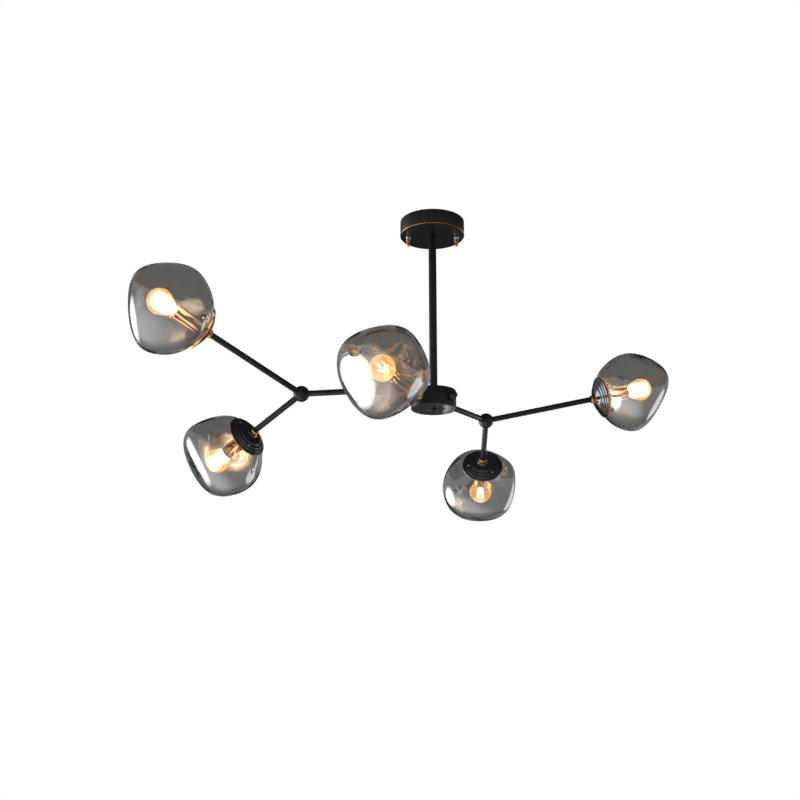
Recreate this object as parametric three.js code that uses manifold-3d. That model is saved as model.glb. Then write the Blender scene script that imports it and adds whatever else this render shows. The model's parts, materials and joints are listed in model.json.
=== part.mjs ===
// Branch chandelier: five smoked glass shades on branches that leave a drum hub under a ceiling canopy.
// Lengths are in millimetres. +Z is up. The origin is on the ceiling plane, on the axis of the stem.
// Headings are degrees round +Z from +X, and a rise is degrees above the horizontal.

import * as THREE from 'three';
import { mergeVertices } from 'three/addons/utils/BufferGeometryUtils.js';
import Module from 'manifold-3d';

const wasm = await Module();
wasm.setup();

// Fits
const seatGap = 0.3;
const cutOverrun = 1.5;

// Ceiling bracket, its two studs, and what hangs the canopy on them
const bracketLength = 108;
const bracketWidth = 22;
const bracketThickness = 3;
const bracketSlotLength = 16;
const bracketSlotWidth = 5.5;
const bracketSlotOffset = 25;
const studRadius = 2;
const studOffset = 47;
const studEngagement = 6;
const postRadius = 4.4;
const postHeight = 6;
const canopyNutRadius = 4;
const canopyNutBarrel = 6.5;
const canopyNutNeckRadius = 2.9;
const canopyNutNeck = 1.4;
const canopyNutBallRadius = 3.8;

// Terminal block on the underside of the bracket
const blockLength = 32;
const blockWidth = 17;
const blockHeight = 12;
const blockWireRadius = 2;
const blockWirePitch = 9.5;

// Canopy drum and the line of brass round its lower edge
const canopyRadius = 62.5;
const canopyHeight = 30;
const canopyWall = 1.5;
const trimHeight = 2;
const trimDepth = 0.9;
const trimProud = 0.5;

// Stem, its threaded nipple at the top and the centre rod at the bottom
const stemRadius = 7.5;
const stemWall = 1.3;
const stemLength = 316;
const stemInsertLength = 14;
const nippleRadius = 4.85;
const nippleBore = 3;
const nippleEngagement = 12;
const nippleProud = 2;
const rodTailRadius = 2.9;
const rodBore = 2.4;
const rodCrossHoleRadius = 2.2;
const rodBoreDepth = 24;

// Lock nuts on the nipple, the rod and the hub arms
const lockNutAcross = 17;
const lockNutHeight = 4;
const portNutAcross = 14;
const portNutHeight = 3;
const portNutProud = 1.5;

// Hub drum, the plate that closes it, its cap nut and the plug of the spare port
const hubRadius = 42.5;
const hubHeight = 35;
const hubWall = 2;
const plateThickness = 2;
const plateRise = 0.4;
const capNutRadius = 6;
const capNutHeight = 5.5;
const capNutRoof = 1.4;
const capNutFaceShare = 0.72;
const capNutBevelShare = 0.35;
const plugRadius = 7.8;
const plugLength = 15;
const plugCollar = 3;
const plugSeatShare = 0.8;
const plugDomeShares = [
  [0.95, 0.42],
  [0.62, 0.86],
];

// Arms: tubes with a threaded end, and the brass ring nuts that lock them
const armRadius = 5.5;
const armBore = 3;
const armThreadRadius = 4.4;
const armTipLength = 11;
const ringRadius = 8;
const ringHeight = 5;
const ringChamfer = 1;

// Balls that join the arms, and how deep an arm sits in one
const ballRadius = 15;
const ballSocketDepth = 8;
const ballWireRadius = 2.5;

// Where the branches go: ball centres are level with the middle of the hub
const rightPortHeading = 53.5;
const frontPortHeading = rightPortHeading + 180;
const sparePortHeading = 315;
const rightBallReach = 183.5;
const frontBallReach = 94;
const leftLinkHeading = 170;
const leftLinkReach = 192;

// Lamps: from the centre of a ball to the crown of the cup
const upperLeftReach = 218.3;
const lowerLeftReach = 129.5;
const frontReach = 72;
const farRightReach = 229.5;
const rearReach = 121;

// Cup of one lamp: a spun dome in steps, with a rolled rim
const cupRadius = 42;
const cupDepth = 20;
const cupWall = 1.5;

// Lamp holder, screwed on the tip of the arm inside the cup
const holderRadius = 14;
const holderNeckRadius = 8;
const holderNeckHeight = 5;
const holderLength = 72;
const holderChamfer = 1;

// Bulb: a small golf-ball bulb with a 14 mm screw base
const bulbRadius = 22.5;
const bulbLength = 77;
const bulbBaseRadius = 6.9;
const bulbBaseLength = 22;
const bulbContactRadius = 3;
const bulbContactLength = 2;

// Glass shade: one moulded pebble, all five alike, each turned its own way round its axis
const shadeRadius = 76;
const shadeWall = 2.2;
const shadeMouthRadius = 37;
const shadeCollar = 2.4;

// How finely round forms are cut
const wideSides = 32;
const cupSides = 16;
const rodSides = 16;
const smallSides = 12;
const wireWaySides = 8;
const ballSides = 14;
const ballRings = 8;
const shadeSides = 20;
const shadeRings = 10;
const shadeInnerSides = 14;
const shadeInnerRings = 7;

// Levels that follow from the sizes above
const canopyFloor = -canopyHeight;
const stemTop = canopyFloor - seatGap;
const hubTop = stemTop - stemLength - seatGap;
const hubMiddle = hubTop - hubHeight / 2;
const hubBottom = hubTop - hubHeight;

const paint = {
  satinBlack: { color: 0x1b1b1c, roughness: 0.42, metalness: 0.55 },
  darkPlate: { color: 0x3a3a3b, roughness: 0.3, metalness: 0.8 },
  brass: { color: 0xc79a4b, roughness: 0.24, metalness: 1 },
  chrome: { color: 0xd4d6d8, roughness: 0.12, metalness: 1 },
  zinc: { color: 0xa9abad, roughness: 0.38, metalness: 0.9 },
  ivory: { color: 0xe9e4d6, roughness: 0.5, metalness: 0 },
  bronze: { color: 0x8f6232, roughness: 0.2, metalness: 1 },
  smokedGlass: { color: 0x4b4743, roughness: 0.04, metalness: 0.35, transparent: true, opacity: 0.55 },
  bulbGlass: { color: 0xffd9a0, roughness: 0.06, metalness: 0, transparent: true, opacity: 0.7 },
};

const chandelier = new THREE.Group();
const up = new THREE.Vector3(0, 0, 1);

function piece(parent, name, geometry, look) {
  const mesh = new THREE.Mesh(geometry, new THREE.MeshStandardMaterial(paint[look]));
  mesh.name = name;
  parent.add(mesh);
  return mesh;
}

function direction(heading, rise = 0) {
  const turn = THREE.MathUtils.degToRad(heading);
  const lift = THREE.MathUtils.degToRad(rise);
  return new THREE.Vector3(
    Math.cos(lift) * Math.cos(turn),
    Math.cos(lift) * Math.sin(turn),
    Math.sin(lift),
  );
}

// A group whose own +Z runs along an arm or a lamp
function frameAlong(origin, along) {
  const frame = new THREE.Group();
  frame.position.copy(origin);
  frame.quaternion.setFromUnitVectors(up, along);
  chandelier.add(frame);
  return frame;
}

// Shared vertices are merged, flat slivers dropped, and the faces made to point out
function welded(source) {
  const bare = source.clone();
  bare.deleteAttribute('normal');
  bare.deleteAttribute('uv');
  const merged = mergeVertices(bare);
  const corners = merged.index.array;
  const spot = merged.attributes.position;
  const kept = [];
  let volume = 0;
  const a = new THREE.Vector3();
  const b = new THREE.Vector3();
  const c = new THREE.Vector3();
  for (let i = 0; i < corners.length; i += 3) {
    const [p, q, r] = [corners[i], corners[i + 1], corners[i + 2]];
    if (p === q || q === r || r === p) continue;
    kept.push(p, q, r);
    a.fromBufferAttribute(spot, p);
    b.fromBufferAttribute(spot, q);
    c.fromBufferAttribute(spot, r);
    volume += a.dot(b.cross(c));
  }
  if (volume < 0) kept.reverse();
  merged.setIndex(kept);
  return merged;
}

function solid(geometry) {
  const closed = welded(geometry);
  return new wasm.Manifold(new wasm.Mesh({
    numProp: 3,
    vertProperties: Float32Array.from(closed.attributes.position.array),
    triVerts: Uint32Array.from(closed.index.array),
  }));
}

function shaped(manifold) {
  const mesh = manifold.getMesh();
  const geometry = new THREE.BufferGeometry();
  geometry.setAttribute('position', new THREE.BufferAttribute(Float32Array.from(mesh.vertProperties), 3));
  geometry.setIndex(Array.from(mesh.triVerts));
  return geometry;
}

// A body of revolution about Z; a profile off the axis closes on itself
function revolved(profile, sides) {
  const outline = profile[0][0] > 0 ? [...profile, profile[0]] : profile;
  const points = outline.map(([radius, height]) => new THREE.Vector2(radius, height));
  return welded(new THREE.LatheGeometry(points, sides).rotateX(Math.PI / 2));
}

// A round cutter along a direction, from one distance to another out from a point
function drill(radius, from, to, sides, along = up, origin = new THREE.Vector3()) {
  const rod = new THREE.CylinderGeometry(radius, radius, to - from, sides);
  rod.rotateX(Math.PI / 2).translate(0, 0, (from + to) / 2);
  rod.applyQuaternion(new THREE.Quaternion().setFromUnitVectors(up, along));
  return solid(rod.translate(origin.x, origin.y, origin.z));
}

function hexNut(across, height, bore) {
  const corner = across / Math.sqrt(3);
  const block = new THREE.CylinderGeometry(corner, corner, height, 6).rotateX(Math.PI / 2);
  block.translate(0, 0, height / 2);
  return shaped(solid(block).subtract(drill(bore, -cutOverrun, height + cutOverrun, smallSides)));
}

// Ceiling bracket: a flat bar with two screw slots off its centre and a hole for each stud
function makeBracket() {
  const bar = new THREE.BoxGeometry(bracketLength, bracketWidth, bracketThickness);
  let body = solid(bar.translate(0, 0, -bracketThickness / 2));
  const slotHalf = bracketSlotLength / 2 - bracketSlotWidth / 2;
  const cutFoot = -bracketThickness - cutOverrun;
  for (const side of [-1, 1]) {
    const slot = new THREE.Shape();
    slot.absarc(slotHalf, 0, bracketSlotWidth / 2, -Math.PI / 2, Math.PI / 2);
    slot.absarc(-slotHalf, 0, bracketSlotWidth / 2, Math.PI / 2, Math.PI * 1.5);
    const cutter = new THREE.ExtrudeGeometry(slot, {
      depth: bracketThickness + 2 * cutOverrun,
      bevelEnabled: false,
      curveSegments: 5,
    });
    cutter.translate(side * bracketSlotOffset, 0, cutFoot);
    body = body.subtract(solid(cutter));
    const stud = new THREE.Vector3(side * studOffset, 0, 0);
    const hole = drill(studRadius + seatGap, cutFoot, cutOverrun, smallSides, up, stud);
    body = body.subtract(hole);
  }
  piece(chandelier, 'ceiling_bracket', shaped(body), 'zinc');
}

// Terminal block: moulded body with three wire ways, held under the bracket
function makeTerminalBlock() {
  const top = -bracketThickness - seatGap;
  const box = new THREE.BoxGeometry(blockLength, blockWidth, blockHeight);
  let body = solid(box.translate(0, 0, top - blockHeight / 2));
  for (const way of [-1, 0, 1]) {
    const start = new THREE.Vector3(way * blockWirePitch, -blockWidth / 2, top - blockHeight / 2);
    const length = blockWidth + cutOverrun;
    body = body.subtract(drill(blockWireRadius, -cutOverrun, length, smallSides, direction(90), start));
  }
  piece(chandelier, 'terminal_block', shaped(body), 'ivory');
}

// Canopy: a spun drum, open at the ceiling, with a rebate round its foot for the brass line
function makeCanopy() {
  const rebate = canopyRadius - trimDepth;
  const rebateTop = canopyFloor + trimHeight;
  const inner = canopyRadius - canopyWall;
  const hole = nippleRadius + seatGap;
  let shell = solid(revolved([
    [hole, canopyFloor],
    [rebate, canopyFloor],
    [rebate, rebateTop],
    [canopyRadius, rebateTop],
    [canopyRadius, 0],
    [inner, 0],
    [inner, canopyFloor + canopyWall],
    [hole, canopyFloor + canopyWall],
  ], wideSides));
  for (const side of [-1, 1]) {
    const stud = new THREE.Vector3(side * studOffset, 0, canopyFloor);
    const hole = drill(studRadius + seatGap, -cutOverrun, canopyWall + cutOverrun, smallSides, up, stud);
    shell = shell.subtract(hole);
  }
  piece(chandelier, 'canopy_shell', shaped(shell), 'satinBlack');

  piece(chandelier, 'canopy_trim_ring', revolved([
    [rebate + seatGap, canopyFloor],
    [canopyRadius + trimProud, canopyFloor],
    [canopyRadius + trimProud, rebateTop - seatGap],
    [rebate + seatGap, rebateTop - seatGap],
  ], wideSides), 'brass');
}

// Studs of the bracket, with a chrome post and a ball-ended brass nut under the canopy on each
function makeCanopyFixings() {
  const postTop = canopyFloor - seatGap;
  const nutTop = postTop - postHeight - seatGap;
  const barrelFoot = nutTop - canopyNutBarrel;
  const neckFoot = barrelFoot - canopyNutNeck;
  const ballMiddle = neckFoot - canopyNutBallRadius * Math.sqrt(3) / 2;
  const studFoot = nutTop - studEngagement;
  const bore = studRadius + seatGap;
  for (const [side, label] of [[-1, 'left'], [1, 'right']]) {
    const set = new THREE.Group();
    set.position.set(side * studOffset, 0, 0);
    chandelier.add(set);
    piece(set, `mounting_stud_${label}`, revolved([
      [0, studFoot],
      [studRadius, studFoot],
      [studRadius, -seatGap],
      [0, -seatGap],
    ], smallSides), 'zinc');
    piece(set, `canopy_post_${label}`, revolved([
      [bore, postTop - postHeight],
      [postRadius, postTop - postHeight],
      [postRadius, postTop],
      [bore, postTop],
    ], smallSides), 'chrome');
    piece(set, `canopy_nut_${label}`, revolved([
      [0, ballMiddle - canopyNutBallRadius],
      [canopyNutBallRadius * Math.sin(Math.PI / 4), ballMiddle - canopyNutBallRadius * Math.cos(Math.PI / 4)],
      [canopyNutBallRadius, ballMiddle],
      [canopyNutNeckRadius, neckFoot],
      [canopyNutNeckRadius, barrelFoot],
      [canopyNutRadius, barrelFoot],
      [canopyNutRadius, nutTop],
      [bore, nutTop],
      [bore, studFoot - seatGap],
      [0, studFoot - seatGap],
    ], smallSides), 'brass');
  }
}

// Stem: a tube with a threaded insert at each end, the nipple and nut that hang it in the canopy
function makeStem() {
  const insertBore = nippleRadius + seatGap;
  const bore = stemRadius - stemWall;
  const stemFoot = stemTop - stemLength;
  piece(chandelier, 'stem_tube', revolved([
    [insertBore, stemFoot],
    [stemRadius, stemFoot],
    [stemRadius, stemTop],
    [insertBore, stemTop],
    [insertBore, stemTop - stemInsertLength],
    [bore, stemTop - stemInsertLength],
    [bore, stemFoot + stemInsertLength],
    [insertBore, stemFoot + stemInsertLength],
  ], rodSides), 'satinBlack');

  const nutFoot = canopyFloor + canopyWall + seatGap;
  const nippleTop = nutFoot + lockNutHeight + nippleProud;
  const nippleFoot = stemTop - nippleEngagement;
  piece(chandelier, 'stem_upper_nipple', revolved([
    [nippleBore, nippleFoot],
    [nippleRadius, nippleFoot],
    [nippleRadius, nippleTop],
    [nippleBore, nippleTop],
  ], smallSides), 'zinc');
  const nut = piece(chandelier, 'canopy_lock_nut', hexNut(lockNutAcross, lockNutHeight, insertBore), 'zinc');
  nut.position.z = nutFoot;
}

// Hub: a spun drum with three side ports, hung on the centre rod and closed by a plate and a cap nut
function makeHub() {
  const inner = hubRadius - hubWall;
  const hole = nippleRadius + seatGap;
  let drum = solid(revolved([
    [hole, hubTop],
    [hubRadius, hubTop],
    [hubRadius, hubBottom],
    [inner, hubBottom],
    [inner, hubTop - hubWall],
    [hole, hubTop - hubWall],
  ], wideSides));
  const middle = new THREE.Vector3(0, 0, hubMiddle);
  for (const heading of [rightPortHeading, frontPortHeading, sparePortHeading]) {
    const port = drill(
      armThreadRadius + seatGap,
      inner - cutOverrun,
      hubRadius + cutOverrun,
      smallSides,
      direction(heading),
      middle,
    );
    drum = drum.subtract(port);
  }
  piece(chandelier, 'hub_drum', shaped(drum), 'satinBlack');

  const nutTop = hubTop - hubWall - seatGap;
  const nut = piece(chandelier, 'hub_lock_nut', hexNut(lockNutAcross, lockNutHeight, hole), 'zinc');
  nut.position.z = nutTop - lockNutHeight;

  const rodTop = hubTop + seatGap + nippleEngagement;
  const rodShoulder = nutTop - lockNutHeight - nippleProud;
  const plateTop = hubBottom + plateRise + plateThickness;
  const plateFoot = hubBottom + plateRise;
  const capTop = plateFoot - seatGap;
  const capFoot = capTop - capNutHeight;
  const rodFoot = capFoot + capNutRoof + seatGap;
  const rodBody = solid(revolved([
    [0, rodFoot],
    [rodTailRadius, rodFoot],
    [rodTailRadius, rodShoulder],
    [nippleRadius, rodShoulder],
    [nippleRadius, rodTop],
    [0, rodTop],
  ], smallSides));
  const wireWay = drill(rodBore, rodTop - rodBoreDepth, rodTop + cutOverrun, smallSides);
  const crossHole = drill(
    rodCrossHoleRadius,
    -nippleRadius - cutOverrun,
    nippleRadius + cutOverrun,
    smallSides,
    direction(90),
    new THREE.Vector3(0, 0, rodTop - rodBoreDepth + rodCrossHoleRadius),
  );
  piece(chandelier, 'hub_centre_rod', shaped(rodBody.subtract(wireWay).subtract(crossHole)), 'zinc');

  const tailHole = rodTailRadius + seatGap;
  piece(chandelier, 'hub_bottom_plate', revolved([
    [tailHole, plateFoot],
    [inner - seatGap, plateFoot],
    [inner - seatGap, plateTop],
    [tailHole, plateTop],
  ], wideSides), 'darkPlate');
  piece(chandelier, 'hub_cap_nut', revolved([
    [0, capFoot],
    [capNutRadius * capNutFaceShare, capFoot],
    [capNutRadius, capFoot + capNutHeight * capNutBevelShare],
    [capNutRadius, capTop],
    [tailHole, capTop],
    [tailHole, capFoot + capNutRoof],
    [0, capFoot + capNutRoof],
  ], smallSides), 'satinBlack');

  const spare = frameAlong(middle, direction(sparePortHeading));
  const plugFoot = hubRadius + seatGap;
  const collarTop = plugFoot + plugCollar;
  const domeLength = plugLength - plugCollar;
  const dome = plugDomeShares.map(([radius, along]) => [radius * plugRadius, collarTop + along * domeLength]);
  piece(spare, 'side_port_plug', revolved([
    [0, inner - seatGap],
    [armThreadRadius, inner - seatGap],
    [armThreadRadius, plugFoot],
    [plugRadius * plugSeatShare, plugFoot],
    [plugRadius, collarTop],
    ...dome,
    [0, plugFoot + plugLength],
  ], smallSides), 'satinBlack');
}

// Brass ring nut: a short collar on an arm, its seat at zero
function ringNut() {
  const bore = armRadius + seatGap;
  return revolved([
    [bore, 0],
    [ringRadius - ringChamfer, 0],
    [ringRadius, ringChamfer],
    [ringRadius, ringHeight - ringChamfer],
    [ringRadius - ringChamfer, ringHeight],
    [bore, ringHeight],
  ], smallSides);
}

const armSeatInBall = ballRadius - ballSocketDepth + seatGap;

// Hub arm: threaded into a port of the drum, with a nut inside and a ring nut outside
function makeHubArm(label, heading, reach) {
  const frame = frameAlong(new THREE.Vector3(0, 0, hubMiddle), direction(heading));
  const nutCorner = portNutAcross / Math.sqrt(3);
  const inner = hubRadius - hubWall;
  const nutSeat = Math.sqrt(inner * inner - nutCorner * nutCorner) - seatGap;
  const threadEnd = nutSeat - portNutHeight - portNutProud;
  const shoulder = hubRadius + seatGap;
  piece(frame, `${label}_hub_arm`, revolved([
    [armBore, threadEnd],
    [armThreadRadius, threadEnd],
    [armThreadRadius, shoulder],
    [armRadius, shoulder],
    [armRadius, reach - armSeatInBall],
    [armBore, reach - armSeatInBall],
  ], smallSides), 'satinBlack');
  const nutGeometry = hexNut(portNutAcross, portNutHeight, armThreadRadius + seatGap);
  const nut = piece(frame, `port_lock_nut_${label}`, nutGeometry, 'zinc');
  nut.position.z = nutSeat - portNutHeight;
  const ring = piece(frame, `hub_ring_nut_${label}`, ringNut(), 'brass');
  ring.position.z = shoulder;
}

// Link arm: a plain tube from one ball to the next
function makeLinkArm(origin, heading, reach) {
  const frame = frameAlong(origin, direction(heading));
  piece(frame, 'left_link_arm', revolved([
    [armBore, armSeatInBall],
    [armRadius, armSeatInBall],
    [armRadius, reach - armSeatInBall],
    [armBore, reach - armSeatInBall],
  ], smallSides), 'satinBlack');
}

// Ball with one socket for each arm that meets in it, and wire ways that join the sockets
function makeBall(name, centre, alongs) {
  let ball = solid(new THREE.SphereGeometry(ballRadius, ballSides, ballRings));
  const bore = armRadius + seatGap;
  for (const along of alongs) {
    const socket = drill(bore, ballRadius - ballSocketDepth, ballRadius + cutOverrun, smallSides, along);
    const wireWay = drill(ballWireRadius, 0, ballRadius, wireWaySides, along);
    ball = ball.subtract(socket).subtract(wireWay);
  }
  piece(chandelier, name, shaped(ball), 'satinBlack').position.copy(centre);
}

// Steps of the cup, from the crown to the rolled rim, as shares of its radius and its depth
const cupStepShares = [
  [0.22, 0],
  [0.27, 0.16],
  [0.6, 0.36],
  [0.62, 0.45],
  [0.75, 0.53],
  [0.77, 0.62],
  [0.86, 0.68],
  [0.88, 0.76],
  [0.96, 0.82],
  [1, 0.9],
  [0.985, 1],
];
const cupLiningShares = [
  [0.94, 1],
  [0.94, 0.82],
  [0.77, 0.62],
  [0.27, 0.16],
  [0.2, 0],
];

function cupGeometry() {
  const hole = armThreadRadius + seatGap;
  const outside = cupStepShares.map(([radius, depth]) => [radius * cupRadius, depth * cupDepth]);
  const lining = cupLiningShares.map(([radius, depth], index) => [
    radius * cupRadius,
    index === 0 ? cupDepth : depth * cupDepth + cupWall,
  ]);
  return revolved([[hole, 0], ...outside, ...lining, [hole, cupWall]], cupSides);
}

// Lamp holder: a plated sleeve with a narrow neck that clears the crown, and a socket for the bulb
const holderTop = cupWall + seatGap;
const holderFoot = holderTop + holderLength;
const bulbBaseFoot = holderFoot + seatGap;
const bulbContactTop = bulbBaseFoot - bulbBaseLength - bulbContactLength;

function holderGeometry() {
  const thread = armThreadRadius + seatGap;
  const threadFoot = armTipLength + seatGap;
  const neckFoot = holderTop + holderNeckHeight;
  const socket = bulbBaseRadius + seatGap;
  const socketTop = bulbBaseFoot - bulbBaseLength - seatGap;
  const contact = bulbContactRadius + seatGap;
  return revolved([
    [thread, holderTop],
    [holderNeckRadius, holderTop],
    [holderNeckRadius, neckFoot],
    [holderRadius, neckFoot],
    [holderRadius, holderFoot - holderChamfer],
    [holderRadius - holderChamfer, holderFoot],
    [socket, holderFoot],
    [socket, socketTop],
    [contact, socketTop],
    [contact, threadFoot],
    [thread, threadFoot],
  ], smallSides);
}

// Bulb: contact, screw base, neck and globe; the neck widens along a smooth curve into the globe
const bulbNeckShares = [
  [0.42, 0.02],
  [0.5, 0.1],
  [0.7, 0.26],
];
const bulbGlobeAngles = [-30, 0, 30, 60, 90];

function bulbGeometry() {
  const base = bulbBaseFoot - bulbBaseLength;
  const tip = bulbContactTop + bulbLength;
  const middle = tip - bulbRadius;
  const neckLength = middle - bulbBaseFoot;
  const neck = bulbNeckShares.map(([radius, along]) => [
    radius * bulbRadius,
    bulbBaseFoot + along * neckLength,
  ]);
  const globe = bulbGlobeAngles.map((angle) => {
    const swing = THREE.MathUtils.degToRad(angle);
    const radius = angle === 90 ? 0 : bulbRadius * Math.cos(swing);
    return [radius, middle + bulbRadius * Math.sin(swing)];
  });
  return revolved([
    [0, bulbContactTop],
    [bulbContactRadius, bulbContactTop],
    [bulbContactRadius, base],
    [bulbBaseRadius, base],
    [bulbBaseRadius, bulbBaseFoot],
    ...neck,
    ...globe,
  ], smallSides);
}

// Pebble of glass: soft flats, each given by its tilt from the far end, its turn and its reach
const shadeFlats = [
  { tilt: 45, turn: -10, reachShare: 0.87 },
  { tilt: 80, turn: 160, reachShare: 1 },
  { tilt: 100, turn: 90, reachShare: 1.05 },
  { tilt: 60, turn: 240, reachShare: 1.05 },
  { tilt: 130, turn: 0, reachShare: 1.15 },
  { tilt: 140, turn: 220, reachShare: 1.05 },
];
const shadeSoftness = 5;
const shadeBallShare = 1.18;
const shadeBlendStart = 115;

// Depth of the cup's lining over the edge of the shade, where a flat of the cup comes nearest the axis
function cupLiningOverMouth() {
  const share = shadeMouthRadius / Math.cos(Math.PI / cupSides) / cupRadius;
  const [outer, inner] = [cupLiningShares[1], cupLiningShares[2]];
  const along = (share - inner[0]) / (outer[0] - inner[0]);
  return THREE.MathUtils.lerp(inner[1], outer[1], along) * cupDepth + cupWall;
}

const shadeMouthTop = cupLiningOverMouth() + seatGap;
const shadeMouthFoot = shadeMouthTop + shadeCollar;
const shadeMiddle = shadeMouthFoot + Math.sqrt(shadeRadius ** 2 - shadeMouthRadius ** 2);

function shadeReach(tilt, turn) {
  const out = direction(turn, 90 - tilt);
  let sum = (1 / (shadeBallShare * shadeRadius)) ** shadeSoftness;
  for (const flat of shadeFlats) {
    const facing = out.dot(direction(flat.turn, 90 - flat.tilt));
    if (facing > 0) sum += (facing / (flat.reachShare * shadeRadius)) ** shadeSoftness;
  }
  return sum ** (-1 / shadeSoftness);
}

// Closed skin of the pebble, drawn in to a round mouth, at some depth below the outer surface
function shadeSkin(depth, sides, rings, mouthTop) {
  const lastTilt = 180 - THREE.MathUtils.radToDeg(Math.asin(shadeMouthRadius / shadeRadius));
  const spots = [];
  for (let ring = 1; ring <= rings; ring += 1) {
    const tilt = lastTilt * ring / rings;
    const blend = THREE.MathUtils.smoothstep(tilt, shadeBlendStart, lastTilt);
    for (let side = 0; side < sides; side += 1) {
      const turn = 360 * side / sides;
      const reach = THREE.MathUtils.lerp(shadeReach(tilt, turn), shadeRadius, blend) - depth;
      const spot = direction(turn, 90 - tilt).multiplyScalar(reach);
      spots.push(spot.x, spot.y, spot.z + shadeMiddle);
    }
  }
  for (let side = 0; side < sides; side += 1) {
    const spot = direction(360 * side / sides).multiplyScalar(shadeMouthRadius - depth);
    spots.push(spot.x, spot.y, mouthTop);
  }
  const farEnd = spots.length / 3;
  spots.push(0, 0, shadeMiddle + shadeReach(0, 0) - depth);
  spots.push(0, 0, mouthTop);
  const corners = [];
  for (let side = 0; side < sides; side += 1) {
    const next = (side + 1) % sides;
    corners.push(farEnd, side, next);
    for (let ring = 0; ring < rings; ring += 1) {
      const here = ring * sides;
      const below = here + sides;
      corners.push(here + side, below + side, below + next);
      corners.push(here + side, below + next, here + next);
    }
    corners.push(farEnd + 1, rings * sides + next, rings * sides + side);
  }
  const skin = new THREE.BufferGeometry();
  skin.setAttribute('position', new THREE.Float32BufferAttribute(spots, 3));
  skin.setIndex(corners);
  return skin;
}

function shadeGeometry() {
  const outside = solid(shadeSkin(0, shadeSides, shadeRings, shadeMouthTop));
  const inside = solid(shadeSkin(shadeWall, shadeInnerSides, shadeInnerRings, shadeMouthTop - cutOverrun));
  return shaped(outside.subtract(inside));
}

// One lamp: arm, ring nut, cup, holder, bulb and shade, all on the line of the arm
function makeLamp(label, ballCentre, along, reach, shadeTurn) {
  const arm = frameAlong(ballCentre, along);
  const shoulder = reach - seatGap;
  piece(arm, `lamp_arm_${label}`, revolved([
    [armBore, armSeatInBall],
    [armRadius, armSeatInBall],
    [armRadius, shoulder],
    [armThreadRadius, shoulder],
    [armThreadRadius, reach + armTipLength],
    [armBore, reach + armTipLength],
  ], smallSides), 'satinBlack');
  piece(arm, `arm_ring_nut_${label}`, ringNut(), 'brass').position.z = shoulder - ringHeight;

  const lamp = new THREE.Group();
  lamp.position.z = reach;
  arm.add(lamp);
  piece(lamp, `shade_cup_${label}`, cupGeometry(), 'satinBlack');
  piece(lamp, `lamp_holder_${label}`, holderGeometry(), 'bronze');
  piece(lamp, `bulb_${label}`, bulbGeometry(), 'bulbGlass');
  const shade = piece(lamp, `glass_shade_${label}`, shadeGeometry(), 'smokedGlass');
  shade.rotation.z = THREE.MathUtils.degToRad(shadeTurn);
}

const hubCentre = new THREE.Vector3(0, 0, hubMiddle);
const rightBall = hubCentre.clone().addScaledVector(direction(rightPortHeading), rightBallReach);
const frontBall = hubCentre.clone().addScaledVector(direction(frontPortHeading), frontBallReach);
const leftBall = frontBall.clone().addScaledVector(direction(leftLinkHeading), leftLinkReach);

const lamps = [
  { label: 'upper_left', ball: leftBall, heading: -137.6, rise: 18.6, reach: upperLeftReach, shadeTurn: 165 },
  { label: 'lower_left', ball: leftBall, heading: 143.5, rise: -24.5, reach: lowerLeftReach, shadeTurn: 225 },
  { label: 'front', ball: frontBall, heading: -102, rise: -5, reach: frontReach, shadeTurn: 205 },
  { label: 'far_right', ball: rightBall, heading: 7.5, rise: 13.5, reach: farRightReach, shadeTurn: 5 },
  { label: 'rear', ball: rightBall, heading: 90, rise: -27.5, reach: rearReach, shadeTurn: 205 },
];

const lampAlongs = (ball) => lamps
  .filter((lamp) => lamp.ball === ball)
  .map((lamp) => direction(lamp.heading, lamp.rise));

makeBracket();
makeTerminalBlock();
makeCanopy();
makeCanopyFixings();
makeStem();
makeHub();
makeHubArm('front', frontPortHeading, frontBallReach);
makeHubArm('right', rightPortHeading, rightBallReach);
makeLinkArm(frontBall, leftLinkHeading, leftLinkReach);
makeBall('front_ball', frontBall, [
  direction(rightPortHeading),
  direction(leftLinkHeading),
  ...lampAlongs(frontBall),
]);
makeBall('left_ball', leftBall, [direction(leftLinkHeading + 180), ...lampAlongs(leftBall)]);
makeBall('right_ball', rightBall, [direction(frontPortHeading), ...lampAlongs(rightBall)]);
for (const lamp of lamps) {
  makeLamp(lamp.label, lamp.ball, direction(lamp.heading, lamp.rise), lamp.reach, lamp.shadeTurn);
}

export default chandelier;
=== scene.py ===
import json
from math import cos, degrees, radians, sin

import bpy
from mathutils import Matrix, Vector


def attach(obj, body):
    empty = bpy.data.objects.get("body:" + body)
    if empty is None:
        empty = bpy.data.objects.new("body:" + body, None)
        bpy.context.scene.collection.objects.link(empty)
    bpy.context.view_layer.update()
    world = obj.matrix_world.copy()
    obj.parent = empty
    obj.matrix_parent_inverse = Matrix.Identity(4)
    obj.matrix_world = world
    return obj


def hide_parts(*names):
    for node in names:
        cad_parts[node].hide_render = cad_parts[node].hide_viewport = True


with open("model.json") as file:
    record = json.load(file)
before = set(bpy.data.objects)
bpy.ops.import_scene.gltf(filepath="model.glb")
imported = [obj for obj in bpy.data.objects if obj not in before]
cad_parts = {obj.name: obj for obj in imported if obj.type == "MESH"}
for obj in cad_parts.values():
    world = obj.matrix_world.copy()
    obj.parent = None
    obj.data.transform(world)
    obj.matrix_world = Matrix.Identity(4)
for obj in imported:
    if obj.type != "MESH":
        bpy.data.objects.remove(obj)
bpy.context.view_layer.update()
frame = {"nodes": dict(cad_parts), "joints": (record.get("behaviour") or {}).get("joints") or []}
joints = {joint["name"]: joint for joint in frame["joints"]}


# The studio: a white room with a wide soft light to the left, a smaller one to the right and a
# dark ceiling. The camera stands under and in front of the chandelier and looks up at it.

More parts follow.
